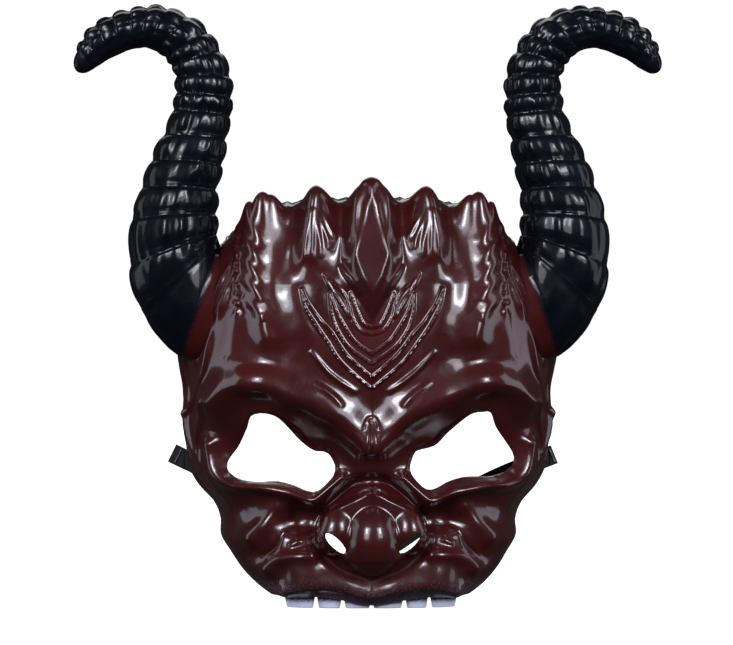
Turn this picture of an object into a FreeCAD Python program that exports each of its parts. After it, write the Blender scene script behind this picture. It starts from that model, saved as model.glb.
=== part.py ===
"""Horned demon half mask: thin moulded face shell, two-part hollow horns, tooth insert and elastic strap.

Frame: millimetres, +Z up, the face looks along -Y, +X is the viewer's right.
Origin: on the symmetry plane at the level of the pupils, in the upright plane of the two strap slots.
"""
import FreeCAD, Part
import math
import os

Vector = FreeCAD.Vector

# ---------------------------------------------------------------- driving dimensions, mm
SHELL_WALL = 1.3            # moulded sheet
HORN_WALL = 1.5
ACROSS = 81                 # points across the face grid
ROWS_PER_STATION = 4        # grid rows for each profile station
SQUARENESS = 0.07           # how much fuller than an ellipse the face sections are

# Face profile from the lip edge, up over the crest and back along the crown.
# centre height, centre depth, half width, rim depth, rim height
FACE_STATIONS = [
    (-67.0, -64.0, 46.0, -42.0, -68.0),     # lip edge
    (-63.0, -66.0, 53.0, -37.0, -62.0),
    (-55.0, -69.0, 59.3, -29.0, -55.0),
    (-47.0, -68.0, 64.5, -22.0, -47.0),
    (-39.0, -67.0, 69.0, -17.0, -39.0),     # cheek
    (-31.0, -66.5, 69.3, -10.5, -31.0),
    (-23.0, -66.0, 72.5, -4.5, -23.0),
    (-15.0, -65.0, 79.5, 1.5, -15.0),
    (-7.0, -64.0, 84.0, 5.5, -7.0),
    (3.0, -64.0, 85.7, 7.5, 3.0),           # temple, where the strap slots are
    (14.0, -66.0, 86.7, 8.0, 14.0),
    (29.0, -69.0, 85.5, 7.0, 29.0),         # brow
    (45.0, -70.0, 87.5, 1.0, 45.0),
    (61.0, -68.5, 85.0, -4.0, 61.0),        # horn roots
    (78.0, -66.0, 79.5, -6.0, 77.0),
    (95.0, -62.0, 76.0, -8.0, 84.0),
    (107.0, -57.0, 73.5, -9.0, 89.0),
    (116.0, -50.0, 71.5, -9.0, 93.0),       # crest
    (119.0, -38.0, 70.0, -8.0, 95.5),
    (119.5, -20.0, 69.0, -7.0, 97.0),       # back edge of the crown
]
CREST_STATION = 17
# Spikes of the crest: offset, height, half width
CREST_SPIKES = [(0.0, 9.6, 9.0), (24.5, 6.2, 7.5), (45.5, 7.8, 5.0), (49.0, 9.4, 6.0), (55.3, 8.4, 4.5)]
SPIKE_DEPTH = 0.75          # reach of a spike either side of the crest, in stations
LIP_RISE = 5.2              # how far the lip edge rises from the middle to the corners of the mouth
LIP_HALF = 15.0             # offset where it has risen by half of that
LIP_STATIONS = 8.0          # the rise fades out over these stations

# Relief of the face, mirrored left and right: height, half width, then the line it follows (x, z)
RELIEF_LINES = [
    (6.0, 8.5, [(3, 9), (14, 20), (25, 27), (38, 32), (50, 36), (62, 34), (71, 24)]),      # brow
    (4.0, 4.5, [(18, -17), (28, -19), (40, -16), (55, -15), (66, -11), (72, -2), (72, 10)]),    # eye rim
    (4.5, 8.0, [(0, 6), (0, -9)]),                                                         # nose bridge
    (-3.5, 3.0, [(0, -12), (10, -15), (19, -22), (25, -31)]),                              # under bridge
    (3.5, 5.0, [(0, -62), (15, -57.5), (30, -57), (42, -60)]),                             # upper lip
    (3.0, 5.0, [(28, -45), (42, -40), (58, -37), (66, -42)]),                              # cheek fold
    (2.6, 7.0, [(0, 116), (0, 88), (0, 72)]),                                              # brow plate
    (1.6, 3.0, [(0, 45), (15, 58), (23, 72)]),                                             # chevrons
    (1.6, 3.0, [(0, 34), (17, 49), (30, 67)]),
    (3.0, 4.5, [(57, 108), (60, 92), (61, 76), (61, 58)]),                                 # side crest
]
# height, half width, half height, centre x, centre z
RELIEF_BUMPS = [
    (15.0, 13.0, 16.0, 0.0, -38.0),         # nose tip
    (8.5, 9.0, 8.5, 17.0, -34.0),           # nose wing
    (-4.5, 22.0, 11.0, 44.0, 2.0),          # eye socket
    (-5.0, 13.0, 7.0, 40.0, -29.0),         # cheek hollow
]

EYE_LEFT = [(-55, 20), (-44, 19), (-33, 8.5), (-26, 3.5), (-20, 2.5), (-16.5, -4), (-19.5, -10.5),
            (-26.5, -15.5), (-36, -12), (-52, -11), (-62, -8.5), (-66, -3), (-60.5, 6), (-57.5, 14)]
EYE_RIGHT = [(45.5, 20), (53, 21.5), (57.5, 14.5), (61.5, 8), (65.5, 1), (63, -6), (52, -8.5),
             (38, -10), (27, -15), (21, -10.5), (17.5, -4), (20.5, 3), (29.5, 5.5), (37, 12.5)]
EYE_CUT = (-110.0, -12.0)   # the cutters pass through the front wall only
NOSTRIL_CUT = (-110.0, -45.0)
NOSTRIL_CENTRE = (17.0, -37.5)
NOSTRIL_LONG = 6.6
NOSTRIL_SHORT = 2.2
NOSTRIL_SLANT = math.radians(45)        # outer end up

# Horn sections: inner end and outer end of each section's long axis in the X-Z plane
HORN_STATIONS = [
    ((71.0, 94.0), (88.3, 46.0)),
    ((70.5, 97.0), (104.0, 63.0)),
    ((71.0, 100.5), (110.5, 81.0)),
    ((71.2, 105.5), (111.5, 97.0)),
    ((71.3, 113.0), (110.5, 111.0)),
    ((71.0, 123.0), (106.0, 124.0)),
    ((68.0, 137.0), (100.3, 139.0)),
    ((65.7, 151.0), (93.3, 153.0)),
    ((64.2, 164.0), (89.8, 166.0)),
    ((64.8, 177.0), (89.2, 176.0)),
    ((70.8, 191.0), (92.3, 182.5)),
    ((80.3, 202.2), (96.8, 187.0)),
    ((95.3, 208.5), (103.3, 189.5)),
    ((110.0, 207.7), (109.0, 189.3)),
    ((121.0, 204.3), (115.5, 187.0)),
    ((130.5, 197.8), (122.0, 183.8)),
    ((135.5, 189.5), (127.0, 180.3)),
    ((137.3, 182.5), (130.8, 178.0)),
    ((136.7, 178.6), (133.6, 177.2)),
]
HORN_SPIGOT = 11.0          # length of plain root inside the shell
SOCKET_GAP = 0.3            # round the root where it passes through the shell
FOOT_GAP = 1.4              # round the flaring foot of the horn, where it meets the shell
FOOT_STATIONS = (0.0, 0.7, 1.4, 2.1)
HORN_ROOT_DEPTH = 16.0      # half depth of the oval root
HORN_ROOT_Y = -26.0
HORN_LEAN = 0.10            # backward lean, mm per mm of height
HORN_NORMAL = Vector(0, 1, -HORN_LEAN).normalize()      # across the plane where the halves meet
HORN_RINGS = 17
RING_RELIEF = 0.045         # of the section's radius
HORN_STEPS_PER_STATION = 4
HORN_RING_DEPTH = 1.0       # the hollow stays inside the deepest ring groove
HORN_CORE = 0.5             # half width of the hollow near the tip
HORN_TIP_SOLID = 0.5        # stations at the tip with no hollow

# Strap: a flat band threaded through an upright slot at each temple, its ends folded and stapled outside
SLOT_HEIGHT = 15.2
SLOT_WIDTH = 2.4
SLOT_X = 85.5
SLOT_Z = -4.4
SLOT_CUT = 12.0             # length of the slot cutter through the wall
STRAP_WIDTH = 9.0
STRAP_THICK = 0.9
# Route of the band's middle line across the back of the mask (x, z); it runs on into the folds
STRAP_ROUTE = [(-84.0, -4.7), (-76.0, -8.6), (-69.0, -14.5), (-61.0, -23.5), (-50.0, -36.0), (-37.0, -47.0),
               (-22.0, -54.0), (-6.0, -53.6), (8.0, -47.2), (20.0, -39.3), (33.0, -29.5), (47.0, -20.0),
               (61.0, -13.0), (73.0, -8.0), (84.0, -3.6)]
BAND_END = 78.5             # the band's upright end faces, from the symmetry plane
HINGE_GAP = 0.3             # from the band's end face to the fold
FOLD_THICK = 1.8            # the end is folded double in the slot
STOP_THICK = 3.2            # and once more outside it
STOP_GAP = 1.0              # from the wall to the stop
FOLD_OUT_LEFT = 92.0
FOLD_OUT_RIGHT = 88.5
STAPLE_WIRE = 0.6
STAPLE_CROWN = 6.0
CLINCH = 0.8                # bent-over part of each staple leg, as a share of half the crown

# Teeth: left edge, right edge at the gum line
TOOTH_SPANS = [(-39.9, -25.9), (-25.2, -13.6), (-13.0, -0.1), (-0.1, 14.6), (15.2, 26.1), (26.8, 39.6)]
TOOTH_THICK = 2.2
TOOTH_CLEAR = 0.7           # behind the lip
TOOTH_TOP = -60.0           # underside of the gum shelf
TOOTH_NECK = -61.5
TOOTH_TIP = -68.4
TOOTH_TAPER = 1.0           # mm lost on each side over the free length
GUM_THICK = 2.6
GUM_STATION = 1.45          # face station that the gum shelf is bonded behind
GUM_CLEAR = 1.6             # behind the face, which leans in towards the lip
GUM_REACH = 0.62            # share of the face grid that the gum shelf spans, from the middle
TIP_ROUND = 0.7             # corner cut at the tooth tips


# ---------------------------------------------------------------- small helpers
def blend(table, t):
    """Catmull-Rom value of a table of equal-length rows at position t."""
    last = len(table) - 1
    i = max(0, min(last - 1, int(math.floor(t))))
    f = t - i
    p = [table[max(0, min(last, k))] for k in (i - 1, i, i + 1, i + 2)]
    return [0.5 * (2 * b + (c - a) * f + (2 * a - 5 * b + 4 * c - d) * f * f
                   + (3 * b - a - 3 * c + d) * f ** 3) for a, b, c, d in zip(*p)]


def distance_to_line(x, z, line):
    """Shortest distance from a point to a chain of straight runs."""
    best = 1e9
    for (ax, az), (bx, bz) in zip(line, line[1:]):
        dx = bx - ax
        dz = bz - az
        s = max(0.0, min(1.0, ((x - ax) * dx + (z - az) * dz) / (dx * dx + dz * dz)))
        best = min(best, math.hypot(x - ax - s * dx, z - az - s * dz))
    return best


def relief(x, z):
    """Height of the face relief over the plain face, seen from the front."""
    side = abs(x)
    height = 0.0
    for amount, width, line in RELIEF_LINES:
        height += amount * math.exp(-(distance_to_line(side, z, line) / width) ** 2)
    for amount, half_x, half_z, centre_x, centre_z in RELIEF_BUMPS:
        spread = ((side - centre_x) / half_x) ** 2 + ((z - centre_z) / half_z) ** 2
        height += amount * math.exp(-spread ** 1.4)
    return height


def plain_point(u, t):
    """Plain face at u (-1 left rim, 1 right rim) and station t."""
    z_mid, y_mid, half, y_rim, z_rim = blend(FACE_STATIONS, t)
    angle = u * math.pi / 2
    full = 1 + SQUARENESS * math.sin(2 * angle) ** 2
    across = math.sin(angle) * full
    x = half * across
    y = y_rim + (y_mid - y_rim) * math.cos(angle) * full
    z = z_rim + (z_mid - z_rim) * (1 - min(1.0, abs(across)) ** 4)
    z += LIP_RISE * x * x / (x * x + LIP_HALF ** 2) * max(0.0, 1 - t / LIP_STATIONS) ** 2
    return Vector(x, y, z)


def plain_normal(u, t):
    """Outward direction of the plain face."""
    du = 0.004
    across = plain_point(min(1.0, u + du), t) - plain_point(max(-1.0, u - du), t)
    top = len(FACE_STATIONS) - 1
    up = plain_point(u, min(top, t + du)) - plain_point(u, max(0.0, t - du))
    normal = across.cross(up)
    normal.normalize()
    return normal


def face_point(u, t):
    """Outer surface of the face with its relief and crest spikes."""
    base = plain_point(u, t)
    front = 1.0 / (1.0 + math.exp(5.0 * (t - CREST_STATION - 0.2)))
    point = base + plain_normal(u, t) * (relief(base.x, base.z) * front)
    lift = 0.0
    for offset, height, half in CREST_SPIKES:
        spread = abs((abs(base.x) - offset) / half) ** 1.6
        reach = abs((t - CREST_STATION) / SPIKE_DEPTH) ** 2
        lift = max(lift, height * math.exp(-spread - reach))
    return point + Vector(0, -0.15 * lift, lift)


def face_grid(u_values, t_values):
    """Outer points and outward unit normals of the face on a grid."""
    points = [[face_point(u, t) for t in t_values] for u in u_values]
    normals = []
    for i in range(len(u_values)):
        row = []
        for j in range(len(t_values)):
            across = points[min(i + 1, len(u_values) - 1)][j] - points[max(i - 1, 0)][j]
            up = points[i][min(j + 1, len(t_values) - 1)] - points[i][max(j - 1, 0)]
            normal = across.cross(up)
            normal.normalize()
            row.append(normal)
        normals.append(row)
    return points, normals


def offset_grid(points, normals, depth):
    """The grid moved inwards by a depth."""
    return [[p - n * depth for p, n in zip(*rows)] for rows in zip(points, normals)]


def solid_between(outer, inner):
    """Closed solid between two grids of points with the same layout."""
    surfaces = []
    for grid in (outer, inner):
        surface = Part.BSplineSurface()
        surface.interpolate(grid)
        surfaces.append(surface)
    faces = [surface.toShape() for surface in surfaces]
    u0, u1, v0, v1 = surfaces[0].bounds()
    p0, p1, q0, q1 = surfaces[1].bounds()
    sides = [(surfaces[0].uIso(u0), surfaces[1].uIso(p0)), (surfaces[0].uIso(u1), surfaces[1].uIso(p1)),
             (surfaces[0].vIso(v0), surfaces[1].vIso(q0)), (surfaces[0].vIso(v1), surfaces[1].vIso(q1))]
    for first, second in sides:
        faces.append(Part.makeRuledSurface(first.toShape(), second.toShape(), 1))
    shell = Part.Shell(faces)
    shell.sewShape()
    solid = Part.Solid(shell)
    if solid.Volume < 0:
        solid.reverse()
    return solid


def closed_prism(outline, y_range):
    """Prism along Y from a smooth closed outline of (x, z) points."""
    curve = Part.BSplineCurve()
    curve.interpolate([Vector(x, y_range[0], z) for x, z in outline], PeriodicFlag=True)
    face = Part.Face(Part.Wire([curve.toShape()]))
    return face.extrude(Vector(0, y_range[1] - y_range[0], 0))


# ---------------------------------------------------------------- horns
def horn_point(t, angle, shrink, ringed):
    """Point of the right horn at station t and angle round it; negative t is the plain root in the shell."""
    ax, az, bx, bz = blend([a + b for a, b in HORN_STATIONS], max(0.0, t))
    long_half = math.hypot(ax - bx, az - bz) / 2
    root = max(0.0, 1 - max(0.0, t) / 3.0)
    deep_half = long_half * 0.96 * (1 - root) + HORN_ROOT_DEPTH * root
    swell = 1.0
    if ringed and t > 0:
        phase = HORN_RINGS * t / (len(HORN_STATIONS) - 1.5)
        inner_side = (1 - math.cos(angle)) / 2
        fade = min(1.0, t) * (1 - inner_side * max(0.0, 1 - t / 4))
        swell = 1 + RING_RELIEF * fade * (1 - 2 * abs(math.cos(math.pi * phase)) ** 3)
    along = Vector(bx - ax, 0, bz - az).normalize()
    inward = Vector(along.z, 0, -along.x) * (HORN_SPIGOT * max(0.0, -t))
    flat = Vector((ax + bx) / 2, 0, (az + bz) / 2) + inward
    flat += along * (max(HORN_CORE, long_half * swell - shrink) * math.cos(angle))
    low = HORN_STATIONS[0][0][1]
    on_plane = Vector(flat.x, HORN_ROOT_Y + HORN_LEAN * (flat.z - low), flat.z)
    return on_plane + HORN_NORMAL * (max(HORN_CORE, deep_half * swell - shrink) * math.sin(angle))


def half_surface(ts, shrink, ringed):
    """Half-round horn surface with its edges: one side, other side, root arc and tip arc."""
    angles = [math.pi * k / 12 for k in range(13)]
    surface = Part.BSplineSurface()
    surface.interpolate([[horn_point(t, a, shrink, ringed) for t in ts] for a in angles])
    u0, u1, v0, v1 = surface.bounds()
    edges = [surface.uIso(u0).toShape(), surface.uIso(u1).toShape(),
             surface.vIso(v0).toShape(), surface.vIso(v1).toShape()]
    return surface.toShape(), edges


def joining_line(first, second, end=0):
    """Straight line between the same ends of two edges."""
    return Part.makeLine(first.Vertexes[end].Point, second.Vertexes[end].Point)


def across_arc(arc):
    """Straight line that closes an arc."""
    return Part.makeLine(arc.Vertexes[-1].Point, arc.Vertexes[0].Point)


def flat_face(edges):
    """Planar face inside a closed loop of edges."""
    return Part.Face(Part.Wire(Part.__sortEdges__(edges)))


def rear_horn_half():
    """Rear half shell of the right horn, open at its root and closed at its tip."""
    count = len(HORN_STATIONS) - 1
    outer_ts = [k / HORN_STEPS_PER_STATION for k in range(count * HORN_STEPS_PER_STATION + 1)]
    inner_ts = [k / 2 for k in range(int((count - HORN_TIP_SOLID) * 2) + 1)]
    (ax, az), (bx, bz) = HORN_STATIONS[0]
    inward = Vector(bz - az, HORN_LEAN * (ax - bx), ax - bx).normalize() * HORN_SPIGOT
    faces = []
    sides = []
    bases = []
    roots = []
    tips = []
    for ts, shrink, ringed in ((outer_ts, 0.0, True), (inner_ts, HORN_WALL + HORN_RING_DEPTH, False)):
        face, (side_b, side_a, base, tip) = half_surface(ts, shrink, ringed)
        root = base.copy()
        root.translate(inward)
        faces += [face, Part.makeRuledSurface(base, root, 1), flat_face([tip, across_arc(tip)])]
        sides.append((side_b, side_a))
        bases.append(base)
        roots.append(root)
        tips.append(tip)
    for outer_side, inner_side in zip(*sides):
        faces.append(Part.makeRuledSurface(outer_side, inner_side, 1))
    for end in (0, -1):
        pairs = [(bases[0], roots[0]), (bases[1], roots[1]), bases, roots]
        faces.append(flat_face([joining_line(first, second, end) for first, second in pairs]))
    faces.append(flat_face(roots + [joining_line(*roots, end) for end in (0, -1)]))
    faces.append(flat_face([across_arc(tip) for tip in tips] + [joining_line(*tips, end) for end in (0, -1)]))
    shell = Part.Shell(faces)
    shell.sewShape()
    solid = Part.Solid(shell)
    if solid.Volume < 0:
        solid.reverse()
    return solid


def oval(t, gap):
    """Closed curve round the right horn's plain section at station t, with a gap all round."""
    curve = Part.BSplineCurve()
    ring = [horn_point(t, 2 * math.pi * k / 24, -gap, False) for k in range(24)]
    curve.interpolate(ring, PeriodicFlag=True)
    return Part.Wire([curve.toShape()])


def horn_sockets():
    """Cutters for the hole that the right horn passes through: its straight root and its flaring foot."""
    (ax, az), (bx, bz) = HORN_STATIONS[0]
    out = Vector(az - bz, 0, bx - ax).normalize()
    root = Part.Face(oval(0.0, SOCKET_GAP)).extrude(out * -(HORN_SPIGOT + 2))
    foot = Part.makeLoft([oval(t, FOOT_GAP) for t in FOOT_STATIONS], True)
    return [root, foot]


# ---------------------------------------------------------------- face shell
def make_face_shell():
    """Curved sheet of the face with its eye, nostril, strap and horn openings."""
    us = [-1 + 2 * k / (ACROSS - 1) for k in range(ACROSS)]
    rows = (len(FACE_STATIONS) - 1) * ROWS_PER_STATION
    ts = [k / ROWS_PER_STATION for k in range(rows + 1)]
    points, normals = face_grid(us, ts)
    shell = solid_between(points, offset_grid(points, normals, SHELL_WALL))
    print("plain shell", shell.isValid(), round(shell.Volume))
    cutters = [closed_prism(EYE_LEFT, EYE_CUT), closed_prism(EYE_RIGHT, EYE_CUT)]
    for side in (-1, 1):
        outline = []
        for k in range(10):
            a = 2 * math.pi * k / 10
            along = NOSTRIL_LONG * math.cos(a)
            over = NOSTRIL_SHORT * math.sin(a)
            x = NOSTRIL_CENTRE[0] + along * math.cos(NOSTRIL_SLANT) - over * math.sin(NOSTRIL_SLANT)
            z = NOSTRIL_CENTRE[1] + along * math.sin(NOSTRIL_SLANT) + over * math.cos(NOSTRIL_SLANT)
            outline.append((side * x, z))
        cutters.append(closed_prism(outline, NOSTRIL_CUT))
        corner = Vector(side * SLOT_X - SLOT_CUT / 2, -SLOT_WIDTH / 2, SLOT_Z - SLOT_HEIGHT / 2)
        cutters.append(Part.makeBox(SLOT_CUT, SLOT_WIDTH, SLOT_HEIGHT, corner))
    for socket in horn_sockets():
        cutters += [socket, socket.mirror(Vector(0, 0, 0), Vector(1, 0, 0))]
    for cutter in cutters:
        shell = shell.cut(cutter)
    return shell


# ---------------------------------------------------------------- teeth
def plan_line(t, inset):
    """Plan view of the face at station t, moved in by an inset."""
    us = [GUM_REACH * (k / 15 - 1) for k in range(31)]
    points, normals = face_grid(us, [t, t + 0.3])
    line = []
    for p, n in zip(points, normals):
        flat = Vector(n[0].x, n[0].y, 0).normalize()
        line.append(Vector(p[0].x, p[0].y, 0) - flat * inset)
    return line


def prism_between(front, back, low, high):
    """Upright prism between two plan lines."""
    edges = []
    for line in (front, list(reversed(back))):
        curve = Part.BSplineCurve()
        curve.interpolate([Vector(p.x, p.y, low) for p in line])
        edges.append(curve.toShape())
    edges.insert(1, Part.makeLine(edges[0].Vertexes[-1].Point, edges[1].Vertexes[0].Point))
    edges.append(Part.makeLine(edges[2].Vertexes[-1].Point, edges[0].Vertexes[0].Point))
    return Part.Face(Part.Wire(edges)).extrude(Vector(0, 0, high - low))


def make_teeth():
    """Gum shelf bonded behind the lip, with the row of teeth hanging from it."""
    front = plan_line(0.0, SHELL_WALL + TOOTH_CLEAR)
    back = plan_line(0.0, SHELL_WALL + TOOTH_CLEAR + TOOTH_THICK)
    shelf_front = plan_line(GUM_STATION, SHELL_WALL + GUM_CLEAR)
    teeth = prism_between(shelf_front, back, TOOTH_TOP, TOOTH_TOP + GUM_THICK)
    band = prism_between(front, back, TOOTH_TIP - 5, TOOTH_TOP + GUM_THICK)
    for left, right in TOOTH_SPANS:
        round_off = min(TIP_ROUND, (right - left) * 0.3)
        corners = [(left, TOOTH_TOP + 1), (right, TOOTH_TOP + 1), (right, TOOTH_NECK),
                   (right - TOOTH_TAPER, TOOTH_TIP + round_off), (right - TOOTH_TAPER - round_off, TOOTH_TIP),
                   (left + TOOTH_TAPER + round_off, TOOTH_TIP), (left + TOOTH_TAPER, TOOTH_TIP + round_off),
                   (left, TOOTH_NECK)]
        wire = Part.makePolygon([Vector(x, -100, z) for x, z in corners + corners[:1]])
        tooth = Part.Face(wire).extrude(Vector(0, 80, 0)).common(band)
        teeth = teeth.fuse(tooth)
    return teeth.removeSplitter()


# ---------------------------------------------------------------- strap
def tangent_wire(route):
    """Wire of straight runs joined by tangent arcs, and the radii of the arcs."""
    corners = [Vector(x, 0, z) for x, z in route]
    edges = []
    radii = []
    start = corners[0]
    for before, corner, after in zip(corners, corners[1:], corners[2:]):
        into = (corner - before).normalize()
        out = (after - corner).normalize()
        half_turn = into.getAngle(out) / 2
        reach = 0.45 * min((corner - before).Length, (after - corner).Length)
        radii.append(reach / math.tan(half_turn))
        arc_start = corner - into * reach
        arc_end = corner + out * reach
        centre_way = (out - into).normalize()
        middle = corner + centre_way * (radii[-1] / math.cos(half_turn) - radii[-1])
        edges.append(Part.makeLine(start, arc_start))
        edges.append(Part.Arc(arc_start, middle, arc_end).toShape())
        start = arc_end
    edges.append(Part.makeLine(start, corners[-1]))
    return Part.Wire(edges), radii


def band_section(point, direction, width, thick):
    """Rectangle across a band that lies in the X-Z plane."""
    over = Vector(-direction.z, 0, direction.x) * (width / 2)
    deep = Vector(0, thick / 2, 0)
    corners = [point + over + deep, point + over - deep, point - over - deep, point - over + deep]
    return Part.makePolygon(corners + corners[:1])


def make_band():
    """Flat strap band that hangs across the open back, cut upright at its ends so that it can swing."""
    wire, radii = tangent_wire(STRAP_ROUTE)
    first = Vector(STRAP_ROUTE[0][0], 0, STRAP_ROUTE[0][1])
    second = Vector(STRAP_ROUTE[1][0], 0, STRAP_ROUTE[1][1])
    section = band_section(first, (second - first).normalize(), STRAP_WIDTH, STRAP_THICK)
    between = Part.makeBox(2 * BAND_END, 20, 200, Vector(-BAND_END, -10, -150))
    band = wire.makePipeShell([section], True, False).common(between)
    line = wire.common(between)
    print("strap radii", [round(r, 1) for r in radii])
    print("strap length", round(line.Length, 1), "volume", round(band.Volume, 1),
          "section x length", round(line.Length * STRAP_WIDTH * STRAP_THICK, 1))
    return band


def make_strap_end(side):
    """Folded strap end through its slot, and the staple that holds the fold."""
    ends = STRAP_ROUTE[:2] if side < 0 else STRAP_ROUTE[::-1][:2]
    inner = Vector(ends[1][0], 0, ends[1][1])
    way = (Vector(ends[0][0], 0, ends[0][1]) - inner).normalize()
    full = ((FOLD_OUT_LEFT if side < 0 else FOLD_OUT_RIGHT) - abs(inner.x)) / abs(way.x)
    outside = (SLOT_X + STOP_GAP - abs(inner.x)) / abs(way.x)
    tilt = STRAP_WIDTH / 2 * abs(way.z / way.x)

    def block(start, end, thick):
        section = Part.Face(band_section(inner + way * start, way, STRAP_WIDTH, thick))
        return section.extrude(way * (end - start))

    def beyond(start):
        return Part.makeBox(40, 20, 60, Vector(start if side > 0 else -start - 40, -10, -40))

    double = block(0, full, FOLD_THICK).common(beyond(BAND_END + HINGE_GAP))
    stop = block(outside - tilt, full, STOP_THICK).common(beyond(SLOT_X + STOP_GAP))
    fold = double.fuse(stop).removeSplitter()
    centre = inner + way * ((outside + full) / 2)
    over = Vector(-way.z, 0, way.x)
    half = STAPLE_CROWN / 2
    wire_half = STAPLE_WIRE / 2
    face_y = STOP_THICK / 2 + wire_half

    def bar(start, end):
        run = end - start
        across = run.cross(way).normalize() * wire_half
        along = way * wire_half
        corners = [across + along, across - along, -across - along, -across + along]
        wire = Part.makePolygon([start + corner for corner in corners + corners[:1]])
        return Part.Face(wire).extrude(run)

    reach = half + wire_half
    staple = bar(centre - over * reach + Vector(0, -face_y, 0), centre + over * reach + Vector(0, -face_y, 0))
    for way_out in (-1, 1):
        leg = centre + over * (half * way_out)
        clinched = leg + Vector(0, face_y, 0)
        staple = staple.fuse(bar(leg + Vector(0, -face_y, 0), leg + Vector(0, face_y + wire_half, 0)))
        staple = staple.fuse(bar(clinched, clinched - over * (half * CLINCH * way_out)))
    return fold.cut(staple), staple.removeSplitter()


os.makedirs("parts", exist_ok=True)
built = {}
horn_rear = rear_horn_half()
horn_front = horn_rear.mirror(Vector(0, HORN_ROOT_Y, HORN_STATIONS[0][0][1]), HORN_NORMAL)
built["horn_right_front"] = horn_front
built["horn_right_rear"] = horn_rear
for name in ("front", "rear"):
    built["horn_left_%s" % name] = built["horn_right_%s" % name].mirror(Vector(0, 0, 0), Vector(1, 0, 0))
built["face_shell"] = make_face_shell()
built["upper_teeth"] = make_teeth()
built["elastic_strap"] = make_band()
for side_name, side in (("left", -1), ("right", 1)):
    fold, staple = make_strap_end(side)
    built["strap_end_%s" % side_name] = fold
    built["staple_%s" % side_name] = staple
for name, shape in built.items():
    print(name, shape.ShapeType, len(shape.Solids), shape.isValid(), round(shape.Volume, 1), shape.BoundBox)
    shape.exportStep("parts/%s.step" % name)
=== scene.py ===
import math

import bpy
import numpy as np
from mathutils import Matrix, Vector


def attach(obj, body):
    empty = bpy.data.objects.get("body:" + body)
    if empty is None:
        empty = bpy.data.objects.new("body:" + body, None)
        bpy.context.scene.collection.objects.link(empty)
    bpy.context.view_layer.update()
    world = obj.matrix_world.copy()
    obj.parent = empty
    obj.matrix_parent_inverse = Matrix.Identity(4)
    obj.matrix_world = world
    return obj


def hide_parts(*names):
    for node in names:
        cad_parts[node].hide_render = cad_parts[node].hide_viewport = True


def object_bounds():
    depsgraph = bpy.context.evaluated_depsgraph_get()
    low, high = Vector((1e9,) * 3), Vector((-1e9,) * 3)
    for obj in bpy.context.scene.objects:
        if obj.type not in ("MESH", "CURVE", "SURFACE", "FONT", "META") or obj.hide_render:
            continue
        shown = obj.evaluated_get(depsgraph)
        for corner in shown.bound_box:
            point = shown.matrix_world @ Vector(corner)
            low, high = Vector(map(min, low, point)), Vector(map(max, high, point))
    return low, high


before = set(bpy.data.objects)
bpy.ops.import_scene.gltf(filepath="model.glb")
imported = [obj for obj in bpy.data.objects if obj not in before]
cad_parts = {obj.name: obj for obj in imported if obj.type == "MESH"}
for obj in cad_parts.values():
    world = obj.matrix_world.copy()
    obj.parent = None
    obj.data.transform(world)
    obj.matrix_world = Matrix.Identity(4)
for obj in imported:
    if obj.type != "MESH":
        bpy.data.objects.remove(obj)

MM = 0.001
cad_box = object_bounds()

# ---- face: plain form, as in the CAD
SHELL_WALL = 1.3
SQUARENESS = 0.07
# centre height, centre depth, half width, rim depth, rim height
FACE_STATIONS = [
    (-67, -64, 46, -42, -68),
    (-63, -66, 53, -37, -62),
    (-55, -69, 59.3, -29, -55),
    (-47, -68, 64.5, -22, -47),
    (-39, -67, 69, -17, -39),
    (-31, -66.5, 69.3, -10.5, -31),
    (-23, -66, 72.5, -4.5, -23),
    (-15, -65, 79.5, 1.5, -15),
    (-7, -64, 84, 5.5, -7),
    (3, -64, 85.7, 7.5, 3),
    (14, -66, 86.7, 8, 14),
    (29, -69, 85.5, 7, 29),
    (45, -70, 87.5, 1, 45),
    (61, -68.5, 85, -4, 61),
    (78, -66, 79.5, -6, 77),
    (95, -62, 76, -8, 84),
    (107, -57, 73.5, -9, 89),
    (116, -50, 71.5, -9, 93),
    (119, -38, 70, -8, 95.5),
    (119.5, -20, 69, -7, 97),
]
CREST_STATION = 17
# |x|, height, half width
CREST_SPIKES = [(0, 9.6, 9), (24.5, 6.2, 7.5), (45.5, 7.8, 5), (49, 9.4, 6), (55.3, 8.4, 4.5)]
SPIKE_DEPTH = 0.75  # in stations
SPIKE_POWER = 2.0  # blunter than in the CAD, by up to 0.6 mm
SPIKE_FORWARD = 0.15  # how far a spike leans forward, as a share of its height
LIP_RISE = 5.2
LIP_HALF = 15.0
LIP_STATIONS = 8.0
CROWN_START = 17.3

# ---- face: relief
# Large forms: height, half width, line
FORM_LINES = [
    (7.2, 8.0, [(3, 8), (13, 19), (24, 26), (36, 31), (50, 36), (62, 34), (71, 26)]),  # brow
    (5.0, 3.0, [(14, -9), (21.3, -15.5), (27.5, -19), (38, -15), (51, -13), (62, -12), (70, -6),
                (73, 6)]),  # eye rim
    (4.0, 7.5, [(0, 10), (0, -7)]),  # bridge
    (-4.0, 2.6, [(0, -9.5), (8, -11), (16, -16), (24, -23.5)]),  # above the nose
    (-2.2, 2.6, [(25, -27), (26.5, -34), (23, -42), (15, -49.5), (0, -56.5)]),  # round the nose
    (3.4, 3.8, [(-6, -60), (0, -60.6), (6, -60), (13, -58), (21, -56.8), (31, -57.8), (38, -59)]),  # lip
    (3.0, 3.2, [(27, -43.5), (36, -44), (43, -46.5), (47, -50)]),  # cheek fold
    (3.6, 4.4, [(42, -24), (49, -31), (54, -36)]),  # cheekbone
    (3.4, 6.0, [(48, 124), (50.5, 108), (52, 92), (51.5, 78), (49, 66), (47, 56)]),  # outer crests
]
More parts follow.
